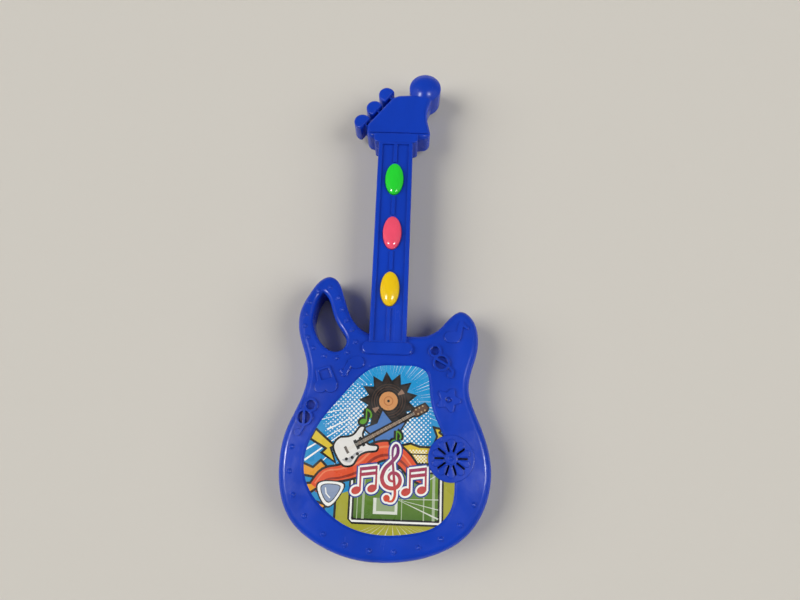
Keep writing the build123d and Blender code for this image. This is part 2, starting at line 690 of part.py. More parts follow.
def speaker_magnet():
    """Steel cup and magnet behind the basket."""
    cup = cylinder(*SPEAKER, 7.5, 9.6, 14.0)
    return fillet(level_edges(cup, 9.6), 0.8)


def speaker_screws():
    places = speaker_screw_places()
    return Compound([screw(x, y, SPEAKER_RIM_Z, 2.4, 3.1, 1.1, 0.83).solid() for x, y in places])


# ---------------------------------------------------------------- power
def battery_cells():
    """Row of button cells along X, each a can with a smaller cap on its left."""
    right = WELL_CENTRE[0] + WELL_HALF[0] - CONTACT_THICKNESS
    z = COVER_Z[1] + 0.1 + CELL_R
    cells = []
    for index in range(CELL_COUNT):
        can_x = right - CELL_LENGTH * index - 2.3
        can = Pos(can_x, WELL_CENTRE[1], z) * Rot(0, 90, 0) * Cylinder(CELL_R, 4.6)
        can = fillet(can.edges().filter_by(GeomType.CIRCLE), 0.4)
        cap = Pos(can_x - 2.6, WELL_CENTRE[1], z) * Rot(0, 90, 0) * Cylinder(4.9, 1.0)
        cells.append((can + cap).solid())
    return Compound(cells)


def contact(side):
    """Contact plate at one end of the well, with a solder tab through the ceiling."""
    end_x = WELL_CENTRE[0] + side * WELL_HALF[0]
    x_low, x_high = sorted((end_x, end_x - side * CONTACT_THICKNESS))
    y = WELL_CENTRE[1]
    plate = block(x_low, x_high, y - 5, y + 5, 3.4, WELL_CEILING - 0.2)
    return plate + block(x_low, x_high, y - 1.5, y + 1.5, WELL_CEILING - 1, 17.6)


def battery_spring():
    """Negative contact: plate and a conical coil pressing on the cells."""
    plate = contact(-1)
    face_x = WELL_CENTRE[0] - WELL_HALF[0] + CONTACT_THICKNESS
    cells_end = WELL_CENTRE[0] + WELL_HALF[0] - CONTACT_THICKNESS - CELL_COUNT * CELL_LENGTH
    wire = 0.25
    height = cells_end - face_x - 2 * wire
    path = Helix(pitch=height / 2, height=height, radius=3.6, cone_angle=-12)
    section = Plane(origin=path @ 0, z_dir=path % 0) * Circle(wire)
    coil = sweep(section, path)
    z = COVER_Z[1] + 0.1 + CELL_R
    return plate + Pos(face_x + wire * 0.9, WELL_CENTRE[1], z) * Rot(0, 90, 0) * coil


def battery_plate():
    return contact(1)


def battery_cover():
    """Screwed lid of the battery well, set just below the back face."""
    lid = prism(cover_face(), *COVER_Z)
    lid = fillet(level_edges(lid, COVER_Z[0]), 0.4)
    for x, y in cover_screw_places():
        lid -= cylinder(x, y, 2.3, -1, COVER_Z[0] + 1.1)
        lid -= cylinder(x, y, 1.2, -1, FAR)
    for index in range(5):
        x = WELL_CENTRE[0] + 2.4 * (index - 2)
        lid -= block(x - 0.5, x + 0.5, WELL_CENTRE[1] - 3, WELL_CENTRE[1] + 3, -1, COVER_Z[0] + 0.4)
    return lid


# ---------------------------------------------------------------- wires
PAD_Z = BOARD_Z[0] - WIRE_R


def neck_wires():
    """Four leads from the button board, past the neck's screw post, to the main board."""
    ends = [(-7.0, -11.0), (-5.2, -8.2), (5.2, -3.0), (7.0, -0.2)]
    wires = []
    for neck_x, board_x in ends:
        middle_x = (neck_x + board_x) / 2
        route = [(neck_x, 73, PAD_Z), (neck_x, 60, PAD_Z), (neck_x, 47, 8.6), (middle_x, 34, 8.0),
                 (board_x, 26, PAD_Z), (board_x, 18, PAD_Z)]
        wires.append(tube(route, [12, 12, 8, 6]).solid())
    return Compound(wires)


def speaker_wires():
    x, y = SPEAKER
    wires = []
    for shift in (0, 3.0):
        route = [(x - 11.5, y + 1.6 + shift, 17.2 - WIRE_R), (x - 18, y + 4 + shift, 16.0),
                 (x - 24, y + 12 + shift, 11.2), (x - 30, y + 17 + shift, 10.6),
                 (x - 36, y + 18.4 + shift * 1.3, PAD_Z)]
        wires.append(tube(route, [6, 6, 5]).solid())
    return Compound(wires)


def battery_wires():
    y = WELL_CENTRE[1]
    wires = []
    for side, board_x in ((-1, -20.5), (1, -4.0)):
        x = WELL_CENTRE[0] + side * (WELL_HALF[0] + WIRE_R)
        route = [(x, y - 1.5, 16.7), (x, y + 9, 16.7), ((x + board_x) / 2, y + 19, 12.6),
                 (board_x, y + 27, 10.4), (board_x, y + 34, PAD_Z)]
        wires.append(tube(route, [10, 10, 8]).solid())
    return Compound(wires)


# ---------------------------------------------------------------- write the nodes
def main():
    outside = case_outside()
    cavity = case_cavity()
    nodes = {
        "front_shell": front_shell(outside, cavity),
        "back_shell": back_shell(outside, cavity),
        "case_screws": case_screws(),
        "picture_label": picture_label(),
        "neck_board": neck_board(),
        "neck_board_screws": board_screws([(0, y) for y in NECK_BOARD_SCREWS], BOARD_Z[0], 6.0),
        "main_board": main_board(),
        "main_board_screws": board_screws(MAIN_BOARD_SCREWS, BOARD_Z[0], 6.0),
        "sound_chip": sound_chip(),
        "capacitor": capacitor(),
        "resistor": resistor(),
        "speaker_basket": speaker_basket(),
        "speaker_cone": speaker_cone(),
        "speaker_magnet": speaker_magnet(),
        "speaker_screws": speaker_screws(),
        "battery_cells": battery_cells(),
        "battery_spring": battery_spring(),
        "battery_plate": battery_plate(),
        "battery_cover": battery_cover(),
        "battery_cover_screws": battery_cover_screws(),
        "neck_wires": neck_wires(),
        "speaker_wires": speaker_wires(),
        "battery_wires": battery_wires(),
    }
    for colour, y in BUTTONS.items():
        nodes["button_" + colour] = button(y)
        nodes["dome_" + colour] = dome(y)
        nodes["pill_" + colour] = pill(y)
    os.makedirs("parts", exist_ok=True)
    for name, shape in nodes.items():
        export_step(shape, f"parts/{name}.step")


main()
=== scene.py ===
import math
import random

import bpy
from mathutils import Matrix, Vector
from mathutils.geometry import convex_hull_2d, delaunay_2d_cdt

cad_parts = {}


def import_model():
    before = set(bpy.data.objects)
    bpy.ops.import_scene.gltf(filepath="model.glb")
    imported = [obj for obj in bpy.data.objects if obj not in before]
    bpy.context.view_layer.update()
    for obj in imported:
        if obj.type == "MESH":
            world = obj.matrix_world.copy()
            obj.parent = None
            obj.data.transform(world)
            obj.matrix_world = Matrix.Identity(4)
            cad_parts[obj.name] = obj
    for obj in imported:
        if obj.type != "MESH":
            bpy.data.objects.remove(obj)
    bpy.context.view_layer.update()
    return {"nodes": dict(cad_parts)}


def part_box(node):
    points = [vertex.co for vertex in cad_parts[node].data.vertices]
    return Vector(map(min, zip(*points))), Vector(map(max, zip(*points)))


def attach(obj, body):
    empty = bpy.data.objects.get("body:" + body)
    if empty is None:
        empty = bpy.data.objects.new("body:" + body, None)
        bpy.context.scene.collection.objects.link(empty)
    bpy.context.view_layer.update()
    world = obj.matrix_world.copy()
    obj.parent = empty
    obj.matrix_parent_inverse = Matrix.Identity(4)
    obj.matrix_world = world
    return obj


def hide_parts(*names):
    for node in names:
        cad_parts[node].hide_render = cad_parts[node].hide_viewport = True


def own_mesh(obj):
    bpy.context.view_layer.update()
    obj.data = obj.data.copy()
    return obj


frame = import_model()

MM = 0.001

# ---------------------------------------------------------------- camera, floor and light
IMAGE_WIDTH = 800
FOCAL_PIXELS = 600
SENSOR_MM = 36.0
CAMERA_PLACE = Vector((12.75, -28.7, 385.3)) * MM
CAMERA_RIGHT = Vector((0.9993, 0.0356, -0.0066))
CAMERA_UP = Vector((-0.0324, 0.9615, 0.2729))
CLIP_METRES = (0.01, 10.0)
LIT_MIDDLE = Vector((0.0, 0.08, 0.0))
DAYLIGHT_SPREAD = math.radians(46.0)
LEFT_DAYLIGHT = ((-0.80, 0.10, 0.60), 2.4, (1.0, 0.985, 0.955))
RIGHT_DAYLIGHT = ((0.82, 0.0, 0.64), 1.75, (0.98, 0.985, 1.0))
LAMPS = ((-0.40, 2.4), (0.34, 2.0))
LAMP_HEIGHT = 0.86
LAMP_WIDTH, LAMP_LENGTH = 0.07, 0.14
ROOM_SINES = (0.03, 0.4)
ROOM_STRENGTHS = (0.6, 0.16)
FLOOR_HALF = 8.0
FLOOR_HEIGHT = -0.00015


# Sockets of Blender's nodes, by name and by number.
RANGE_SOCKETS = ("From Min", "From Max", "To Min", "To Max")
MIX_COLOUR_A, MIX_COLOUR_B, MIX_COLOUR_OUT = 6, 7, 2


def linear(value):
    """A linear brightness from an sRGB value of 0 to 255."""
    value /= 255
    return value / 12.92 if value <= 0.04045 else ((value + 0.055) / 1.055) ** 2.4


def srgb(red, green, blue):
    """A linear colour from sRGB values of 0 to 255."""
    return (linear(red), linear(green), linear(blue), 1.0)


def make_camera():
    """The photograph's viewpoint, with the camera's own axes squared up."""
    data = bpy.data.cameras.new("camera")
    data.sensor_width = SENSOR_MM
    data.lens = SENSOR_MM * FOCAL_PIXELS / IMAGE_WIDTH
    data.clip_start, data.clip_end = CLIP_METRES
    camera = bpy.data.objects.new("camera", data)
    bpy.context.scene.collection.objects.link(camera)
    right = CAMERA_RIGHT.normalized()
    back = right.cross(CAMERA_UP).normalized()
    up = back.cross(right)
    turn = Matrix((right, up, back)).transposed()
    camera.matrix_world = Matrix.LocRotScale(CAMERA_PLACE, turn, None)
    bpy.context.scene.camera = camera


def add_light(name, kind, place, energy, tint=(1.0, 1.0, 1.0), **values):
    """A light that faces the middle of the object. Places are in metres."""
    data = bpy.data.lights.new(name, kind)
    data.energy = energy
    data.color = tint
    for key, value in values.items():
        setattr(data, key, value)
    light = bpy.data.objects.new(name, data)
    bpy.context.scene.collection.objects.link(light)
    light.location = place
    light.rotation_mode = "QUATERNION"
    light.rotation_quaternion = (LIT_MIDDLE - Vector(place)).to_track_quat("-Z", "Y")
    return light


def make_lights():
    """Broad daylight from each side, and on each side a narrow lamp that only glossy surfaces show."""
    for name, settings in (("left_daylight", LEFT_DAYLIGHT), ("right_daylight", RIGHT_DAYLIGHT)):
        daylight = add_light(name, "SUN", *settings, angle=DAYLIGHT_SPREAD)
        daylight.visible_glossy = False
    for x, watts in LAMPS:
        lamp = add_light("lamp", "AREA", (x, 0.0, LAMP_HEIGHT), watts, shape="RECTANGLE",
                         size=LAMP_WIDTH, size_y=LAMP_LENGTH)
        lamp.visible_diffuse = False
    make_room()
    bpy.context.scene.view_settings.view_transform = "Standard"


def make_room():
    """A pale room: bright low down, and darker towards the ceiling. Height is the sine of elevation."""
    world = bpy.data.worlds.new("world")
    world.use_nodes = True
    tree = world.node_tree
    split = tree.nodes.new("ShaderNodeSeparateXYZ")
    tree.links.new(tree.nodes.new("ShaderNodeTexCoord").outputs["Generated"], split.inputs[0])
    ramp = tree.nodes.new("ShaderNodeMapRange")
    for name, number in zip(RANGE_SOCKETS, ROOM_SINES + ROOM_STRENGTHS):
        ramp.inputs[name].default_value = number
    tree.links.new(split.outputs["Z"], ramp.inputs["Value"])
    background = tree.nodes["Background"]
    background.inputs["Color"].default_value = srgb(224, 222, 218)
    tree.links.new(ramp.outputs["Result"], background.inputs["Strength"])
    bpy.context.scene.world = world


# ---------------------------------------------------------------- material building
EDGE_SAMPLES = 6
EDGE_FLAT, EDGE_TURNED = 0.995, 0.80


class Shader:
    """A new material with its principled shader, and short ways to add the nodes that feed it.
    Places are object coordinates in metres, which are the frame's own at rest."""

    def __init__(self, name, colour, roughness, **values):
        self.material = bpy.data.materials.new(name)
        self.material.use_nodes = True
        self.tree = self.material.node_tree
        self.bsdf = self.tree.nodes["Principled BSDF"]
        self.set("Base Color", colour)
        self.set("Roughness", roughness)
        for socket, value in values.items():
            self.set(socket.replace("_", " "), value)
        self.place = self.node("ShaderNodeTexCoord").outputs["Object"]

    def set(self, socket, value):
        self.bsdf.inputs[socket].default_value = value

    def node(self, kind, **settings):
        made = self.tree.nodes.new(kind)
        for name, value in settings.items():
            setattr(made, name, value)
        return made

    def feed(self, socket, source):
        self.tree.links.new(source, socket)

    def stretched(self, stretch):
        """The place with each axis scaled. A pattern comes out longer where the scale is under 1."""
        mapping = self.node("ShaderNodeMapping")
        mapping.inputs["Scale"].default_value = stretch
        self.feed(mapping.inputs["Vector"], self.place)
        return mapping.outputs["Vector"]

    def noise(self, per_metre, detail=2.0, stretch=(1, 1, 1), distortion=0.0):
        """Soft noise with about per_metre lumps in a metre, as a value round 0.5."""
        place = self.stretched(stretch)
        made = self.node("ShaderNodeTexNoise")
        made.inputs["Scale"].default_value = per_metre
        made.inputs["Detail"].default_value = detail
        made.inputs["Distortion"].default_value = distortion
        self.feed(made.inputs["Vector"], place)
        return made.outputs["Fac"]

    def cells(self, per_metre, feature="F1", stretch=(1, 1, 1)):
        """Distance within Voronoi cells, about per_metre of them in a metre."""
        place = self.stretched(stretch)
        made = self.node("ShaderNodeTexVoronoi", feature=feature)
        made.inputs["Scale"].default_value = per_metre
        self.feed(made.inputs["Vector"], place)
        return made.outputs["Distance"]

    def coordinate(self, letter, vector=None):
        """One coordinate of a vector, or of the place in metres."""
        split = self.node("ShaderNodeSeparateXYZ")
        self.feed(split.inputs[0], self.place if vector is None else vector)
        return split.outputs[letter]

    def remap(self, value, low, high, to_low=0.0, to_high=1.0):
        """The value with low moved to to_low and high to to_high, held between those two."""
        made = self.node("ShaderNodeMapRange")
        for name, number in zip(RANGE_SOCKETS, (low, high, to_low, to_high)):
            made.inputs[name].default_value = number
        self.feed(made.inputs["Value"], value)
        return made.outputs["Result"]

    def maths(self, operation, a, b=0.0):
        """A sum on one or two numbers. Each is a value or a socket."""
        made = self.node("ShaderNodeMath", operation=operation)
        for socket, value in zip(made.inputs, (a, b)):
            if isinstance(value, (int, float)):
                socket.default_value = value
            else:
                self.feed(socket, value)
        return made.outputs["Value"]

    def mix(self, factor, a, b):
        """Colour a where factor is 0 and b where it is 1. Each colour is a value or a socket."""
        made = self.node("ShaderNodeMix", data_type="RGBA")
        self.feed(made.inputs["Factor"], factor)
        for number, colour in ((MIX_COLOUR_A, a), (MIX_COLOUR_B, b)):
            socket = made.inputs[number]
            if isinstance(colour, tuple):
                socket.default_value = colour
            else:
                self.feed(socket, colour)
        return made.outputs[MIX_COLOUR_OUT]

    def eased(self, radius):
        """Normals as if every sharp edge were rounded off by radius."""
        bevel = self.node("ShaderNodeBevel", samples=EDGE_SAMPLES)
        bevel.inputs["Radius"].default_value = radius
        return bevel.outputs["Normal"]

    def edges(self, eased):
        """1 on the rounded-off edges and 0 on flat stretches."""
        geometry = self.node("ShaderNodeNewGeometry")
        dot = self.node("ShaderNodeVectorMath", operation="DOT_PRODUCT")
        self.feed(dot.inputs[0], eased)
        self.feed(dot.inputs[1], geometry.outputs["Normal"])
        return self.remap(dot.outputs["Value"], EDGE_FLAT, EDGE_TURNED)

    def colour(self, source):
        self.feed(self.bsdf.inputs["Base Color"], source)

    def roughness(self, source):
        self.feed(self.bsdf.inputs["Roughness"], source)

    def bump(self, *layers, normal=None):
        """Each layer is (height, depth in metres). The normals are chained, from normal on."""
        for height, depth in layers:
            made = self.node("ShaderNodeBump")
            made.inputs["Distance"].default_value = depth
            self.feed(made.inputs["Height"], height)
            if normal is not None:
                self.feed(made.inputs["Normal"], normal)
            normal = made.outputs["Normal"]
        self.feed(self.bsdf.inputs["Normal"], normal)


def shade(colour, brightness):
    """The colour made darker or lighter."""
    return tuple(part * brightness for part in colour[:3]) + (1.0,)


def greyed(colour, share, grey):
    """The colour with a share of it turned to grey."""
    return tuple((1 - share) * part + share * grey for part in colour[:3]) + (1.0,)


EASED_RADIUS = 0.0003
RUB_AND_SHEEN_MOST = 0.25


def moulded_plastic(name, colour, gloss, specular=0.5):
    """Injection-moulded plastic: faint flow marks, orange peel, hair scratches, finger marks and
    rubbed edges. The edges are made paler, partly as wear and partly as a painted highlight."""
    s = Shader(name, colour, gloss, Specular_IOR_Level=specular)
    flow = s.noise(38, 3.0, (1.0, 0.45, 1.0), 0.6)
    tone = s.mix(s.remap(flow, 0.35, 0.7), shade(colour, 0.9), shade(colour, 1.08))
    eased = s.eased(EASED_RADIUS)
    # Paler edges: partly rubbed wear, partly a painted highlight along every rounded edge.
    patches = s.remap(s.noise(420, 3.0), 0.4, 0.7, 0.05, RUB_AND_SHEEN_MOST)
    rub_and_edge_sheen = s.maths("MULTIPLY", s.edges(eased), patches)
    s.colour(s.mix(rub_and_edge_sheen, tone, greyed(colour, 0.18, 0.7)))
    marks = s.remap(s.noise(55, 4.0, (1, 1, 1), 0.8), 0.4, 0.75, gloss, gloss + 0.12)
    hairs = s.remap(s.noise(900, 2.0, (1.0, 0.06, 1.0)), 0.64, 0.76, 0.0, 0.06)
    s.roughness(s.maths("ADD", marks, s.maths("ADD", hairs, s.maths("MULTIPLY", rub_and_edge_sheen, 0.35))))
    s.bump((s.noise(260, 2.0), 0.00006), (s.noise(2600, 3.0), 0.000008), normal=eased)
    return s.material


def steel(name, tone, roughness=0.28, grain=(1.0, 1.0, 8.0)):
    """Plated or bright steel with drawn grain, tarnish spots and small dents."""
    s = Shader(name, tone, roughness, Metallic=1.0)
    spots = s.remap(s.noise(700, 4.0), 0.55, 0.75)
    s.colour(s.mix(spots, tone, shade(tone, 0.6)))
    drawn = s.noise(3500, 2.0, grain)
    s.roughness(s.maths("ADD", s.remap(drawn, 0.3, 0.7, roughness - 0.08, roughness + 0.12),
                        s.maths("MULTIPLY", spots, 0.25)))
    s.bump((drawn, 0.000006), (s.noise(600, 2.0), 0.00002))
    return s.material


def circuit_board(name):
    """Phenolic board: green mask, copper lines under it, tinned pads, and bare tan edges."""
    mask, line, edge, pad = srgb(24, 92, 48), srgb(54, 136, 72), srgb(164, 120, 66), srgb(196, 168, 110)
    s = Shader(name, mask, 0.32, Coat_Weight=0.35, Coat_Roughness=0.15)
    tracks = s.remap(s.cells(260, "DISTANCE_TO_EDGE", (1.0, 0.55, 1.0)), 0.09, 0.06)
    pads = s.remap(s.cells(420), 0.2, 0.17)
    face = s.mix(pads, s.mix(tracks, mask, line), pad)
    upright = s.coordinate("Z", s.node("ShaderNodeNewGeometry").outputs["Normal"])
    side = s.remap(s.maths("ABSOLUTE", upright), 0.5, 0.4)
    s.colour(s.mix(side, face, edge))
    s.roughness(s.remap(s.noise(300, 3.0), 0.3, 0.7, 0.26, 0.42))
    s.bump((tracks, 0.00003), (s.noise(3000, 2.0), 0.00001))
    return s.material


def rubber(name, colour, roughness, **values):
    """Moulded silicone or conductive rubber: a dusty bloom and fine pits."""
    s = Shader(name, colour, roughness, **values)
    bloom = s.remap(s.noise(500, 4.0), 0.4, 0.75)
    s.colour(s.mix(bloom, colour, greyed(colour, 0.15, 0.6)))
    s.roughness(s.remap(bloom, 0.0, 1.0, roughness, roughness + 0.15))
    s.bump((s.noise(1800, 3.0), 0.00002))
    return s.material


def speaker_paper(name):
    """Pressed paper cone with visible fibres."""
    tone = srgb(46, 44, 42)
    s = Shader(name, tone, 0.85)
    fibres = s.noise(2600, 5.0, (1.0, 0.3, 1.0), 1.5)
    s.colour(s.mix(s.remap(fibres, 0.35, 0.7), tone, srgb(84, 80, 74)))
    s.roughness(s.remap(fibres, 0.3, 0.7, 0.75, 0.95))
    s.bump((fibres, 0.00004))
    return s.material


def epoxy_blob(name):
    """Black epoxy over the sound chip: smooth, with flow rings and pinholes."""
    tone = srgb(18, 18, 20)
    s = Shader(name, tone, 0.25, Coat_Weight=0.4, Coat_Roughness=0.12)
    pits = s.remap(s.cells(900), 0.16, 0.1)
    s.colour(s.mix(pits, tone, srgb(52, 50, 50)))
    s.roughness(s.remap(s.noise(200, 3.0), 0.3, 0.7, 0.18, 0.36))
    s.bump((pits, 0.00004), (s.noise(240, 2.0), 0.00015))
    return s.material


def sleeve(name, colour, band, middle, half):
    """A sleeve or a lacquer with one plain band, as far as half on each side of middle along X."""
    s = Shader(name, colour, 0.35)
    away = s.maths("ABSOLUTE", s.maths("SUBTRACT", s.coordinate("X"), middle))
    banded = s.remap(away, half * 1.05, half * 0.95)
    mottled = s.mix(s.remap(s.noise(700, 2.0), 0.3, 0.7), colour, shade(colour, 0.8))
    s.colour(s.mix(banded, mottled, band))
    s.roughness(s.remap(s.noise(900, 3.0), 0.3, 0.7, 0.28, 0.45))
    s.bump((s.noise(1200, 2.0), 0.00002))
    return s.material


WIRE_SPLIT_BLUR = 0.0001


def wire_skin(name, first, second, split_x):
    """Soft PVC skin. Wires on the high side of split_x, in metres, are of the second colour."""
    s = Shader(name, first, 0.42)
    side = s.remap(s.coordinate("X"), split_x - WIRE_SPLIT_BLUR, split_x + WIRE_SPLIT_BLUR)
    both = s.mix(side, first, second)
    s.colour(s.mix(s.remap(s.noise(1200, 3.0), 0.55, 0.8), both, srgb(120, 116, 112)))
    s.roughness(s.remap(s.noise(800, 2.0), 0.3, 0.7, 0.34, 0.52))
    s.bump((s.noise(2500, 2.0), 0.00002))
    return s.material


def printed_sheet(name):
    """Coated paper whose ink colours are held in the mesh, under a thin clear film."""
    s = Shader(name, (0.5, 0.5, 0.5, 1.0), 0.3, Specular_IOR_Level=0.35, Coat_Weight=0.15,
               Coat_Roughness=0.2)
    ink = s.node("ShaderNodeVertexColor", layer_name=INK_LAYER).outputs["Color"]
    fade = s.remap(s.noise(160, 4.0), 0.3, 0.8, 0.0, 0.05)
    s.colour(s.mix(fade, ink, srgb(226, 224, 216)))
    s.roughness(s.remap(s.noise(90, 4.0, (1, 1, 1), 0.7), 0.35, 0.75, 0.22, 0.4))
    s.bump((s.noise(2200, 3.0), 0.000006), (s.noise(70, 2.0), 0.00008))
    return s.material


CASE_GLOSS, CASE_SPECULAR = 0.17, 0.45
BUTTON_GLOSS = 0.1


def dress_nodes():
    """Gives each CAD node named in the table its finish."""
    finishes = {
        ("front_shell", "back_shell", "battery_cover"):
            moulded_plastic("blue_plastic", srgb(14, 62, 188), CASE_GLOSS, CASE_SPECULAR),
        ("button_green",): moulded_plastic("green_plastic", srgb(40, 224, 56), BUTTON_GLOSS),
        ("button_pink",): moulded_plastic("pink_plastic", srgb(252, 86, 116), BUTTON_GLOSS),
        ("button_yellow",): moulded_plastic("yellow_plastic", srgb(244, 202, 20), BUTTON_GLOSS),
        ("dome_green", "dome_pink", "dome_yellow"):
            rubber("milky_silicone", srgb(214, 212, 204), 0.45, Subsurface_Weight=0.25,
                   Subsurface_Scale=0.002),
        ("pill_green", "pill_pink", "pill_yellow"): rubber("carbon_rubber", srgb(26, 26, 28), 0.7),
        ("case_screws", "main_board_screws", "neck_board_screws", "battery_cover_screws", "speaker_screws"):
            steel("screw_steel_finish", srgb(176, 174, 168)),
        ("main_board", "neck_board"): circuit_board("phenolic_board"),
        ("sound_chip",): epoxy_blob("black_epoxy_finish"),
        ("speaker_basket",): steel("pressed_steel", srgb(150, 150, 148), 0.36),
        ("speaker_magnet",): steel("magnet_cap", srgb(120, 120, 122), 0.42),
        ("speaker_cone",): speaker_paper("cone_paper"),
        ("battery_cells",): steel("cell_can", srgb(202, 200, 194), 0.22, (1.0, 8.0, 8.0)),
        ("battery_spring", "battery_plate"): steel("nickel_contact", srgb(198, 190, 168), 0.25),
    }
    for names, material in finishes.items():
        for name in names:
            wear_finish(frame["nodes"][name], material)


def wear_finish(thing, material):
    """The object shows this one material, whatever its mesh held."""
    if not thing.material_slots:
        thing.data.materials.append(material)
    for slot in thing.material_slots:
        slot.link = "OBJECT"
        slot.material = material


def middle_x(name):
    """The middle of a node's box along X."""
    low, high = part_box(name)
    return (low.x + high.x) / 2


STRIPE_SHARE, BAND_SHARE = 0.3, 0.06


def dress_small_parts():
    """Parts whose pattern depends on where they are."""
    low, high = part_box("capacitor")
    stripe = sleeve("capacitor_sleeve_finish", srgb(28, 34, 62), srgb(196, 198, 204), high.x,
                    (high.x - low.x) * STRIPE_SHARE)
    wear_finish(frame["nodes"]["capacitor"], stripe)
    low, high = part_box("resistor")
    band = sleeve("resistor_lacquer", srgb(206, 178, 130), srgb(150, 62, 34), middle_x("resistor"),
                  (high.x - low.x) * BAND_SHARE)
    wear_finish(frame["nodes"]["resistor"], band)
    skins = {
        "neck_wires": (srgb(226, 222, 212), srgb(232, 196, 40)),
        "speaker_wires": (srgb(36, 140, 66), srgb(36, 140, 66)),
        "battery_wires": (srgb(30, 30, 32), srgb(198, 32, 30)),
    }
    for name, (first, second) in skins.items():
        wear_finish(frame["nodes"][name], wire_skin(name + "_skin", first, second, middle_x(name)))


def make_domes():
    """The domes as separate pieces on the root, copied from the CAD domes, which are hidden."""
    for colour in ("green", "pink", "yellow"):
        node = frame["nodes"][f"dome_{colour}"]
        mesh = node.data.copy()
        mesh.transform(node.matrix_world)
        dome = bpy.data.objects.new(f"soft_dome_{colour}", mesh)
        bpy.context.scene.collection.objects.link(dome)
        wear_finish(dome, node.material_slots[0].material)
        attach(dome, "root")
        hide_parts(f"dome_{colour}")
        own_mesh(dome)


# ---------------------------------------------------------------- the printed label
# The picture is laid out in millimetres of the frame, as flat shapes painted one over another.
INK_LAYER = "ink"
BLACK = srgb(24, 22, 24)
WHITE = srgb(246, 246, 242)
YELLOW = srgb(222, 194, 50)
ORANGE = srgb(232, 156, 28)
LIME = srgb(168, 166, 46)
GREEN = srgb(104, 140, 44)
BLUE = srgb(76, 122, 188)
RED = srgb(226, 82, 42)
TAN = srgb(212, 148, 92)
BROWN = srgb(92, 62, 46)
GREY = srgb(140, 156, 186)
LEAF = srgb(92, 160, 36)
ROYAL = srgb(34, 62, 150)
OUTLINE = 1.35
SMALLEST_DOT = 0.2
SMALLEST_AREA = 1e-3
# A stroke's corners are mitred, except where it turns straight back, and never past this cosine.
TURNED_BACK = 0.2
MITRE_COSINE = 0.45
CUT_TOLERANCE = 1e-4
SAME_HEIGHT = 1e-6
INSIDE_ONLY = 1
BURST_CENTRE = (2.0, 11.0)
PICK_TURN = 118.0
PAPER = srgb(222, 220, 212)


def between(a, b, share):
    """The colour that is share of the way from a to b."""
    return tuple(x + (y - x) * share for x, y in zip(a, b))


def vertical(low_y, high_y, low_ink, high_ink):
    """An ink that changes evenly from low_y to high_y."""
    def ink(x, y):
        return between(low_ink, high_ink, min(1.0, max(0.0, (y - low_y) / (high_y - low_y))))
    return ink


def plain(colour):
    """An ink of one colour."""
    return lambda x, y: colour


def signed_area(points):
    """The area inside the outline, negative if the outline runs clockwise."""
    return sum(a[0] * b[1] - b[0] * a[1] for a, b in zip(points, points[1:] + points[:1])) / 2


class Print:
    """Flat shapes in painting order, each with its ink."""

    def __init__(self, outline, ink):
        self.shapes = []
        self.shape(outline, ink)

    def shape(self, points, ink):
        """A filled outline. The ink is a colour, or gives the colour at each point."""
        points = [(float(x), float(y)) for x, y in points]
        area = signed_area(points)
        if abs(area) < SMALLEST_AREA:
            return
        if area < 0:
            points.reverse()
        self.shapes.append((points, ink if callable(ink) else plain(ink)))

    def oval(self, centre, half, ink, turn=0.0, corners=None, start=0.0):
        """A filled oval, turned anticlockwise by turn degrees."""
        corners = corners or max(8, int(10 * math.sqrt(max(half))))
        c, s = math.cos(math.radians(turn)), math.sin(math.radians(turn))
        points = []
        for i in range(corners):
            angle = 2 * math.pi * (i + start) / corners
            x, y = half[0] * math.cos(angle), half[1] * math.sin(angle)
            points.append((centre[0] + c * x - s * y, centre[1] + s * x + c * y))
        self.shape(points, ink)

    def stroke(self, points, width, ink, closed=False):
        """A line through the points. width is one number, or one for each point."""
        points = [Vector(p) for p in points]
        widths = width if isinstance(width, (list, tuple)) else [width] * len(points)
        left, right = [], []
        for i, p in enumerate(points):
            before = points[i - 1] if i or closed else p - (points[1] - p)
            if i + 1 < len(points) or closed:
                after = points[(i + 1) % len(points)]
            else:
                after = p + (p - points[i - 1])
            a, b = (p - before).normalized(), (after - p).normalized()
            along = (a + b).normalized() if (a + b).length > TURNED_BACK else a
            side = Vector((-along.y, along.x)) * widths[i] / 2 / max(MITRE_COSINE, along.dot(b))
            left.append(p + side)
            right.append(p - side)
        for i in range(len(points) if closed else len(points) - 1):
            j = (i + 1) % len(points)
            corners = [left[i], left[j], right[j], right[i]]
            self.shape([corners[k] for k in convex_hull_2d(corners)], ink)

    def outlined(self, points, ink, line=OUTLINE):
        """A filled shape with a black line round it."""
        self.shape(points, ink)
        self.stroke(points, line, BLACK, closed=True)


def smooth(points, closed=True, steps=6):
    """Points along a smooth curve through the given ones."""
    count = len(points)
    made = []
    for i in range(count if closed else count - 1):
        near = [(i + k) % count if closed else min(count - 1, max(0, i + k)) for k in (-1, 0, 1, 2)]
        p = [Vector(points[k]) for k in near]
        for step in range(steps):
            t = step / steps
            made.append(0.5 * (2 * p[1] + (p[2] - p[0]) * t + (2 * p[0] - 5 * p[1] + 4 * p[2] - p[3]) * t * t
                               + (3 * p[1] - p[0] - 3 * p[2] + p[3]) * t ** 3))
    if not closed:
        made.append(Vector(points[-1]))
    return made


def placed(points, origin, turn=0.0, size=1.0):
    """Points turned anticlockwise by turn degrees, scaled, and moved to origin."""
    c, s = math.cos(math.radians(turn)) * size, math.sin(math.radians(turn)) * size
    return [(origin[0] + c * x - s * y, origin[1] + s * x + c * y) for x, y in points]


def star_points(tips, outer, inner, start):
    """A star's outline, whose first tip is at start degrees."""
    made = []
    for i in range(2 * tips):
        radius, angle = outer if i % 2 == 0 else inner, math.radians(start + 180 * i / tips)
        made.append((radius * math.cos(angle), radius * math.sin(angle)))
    return made


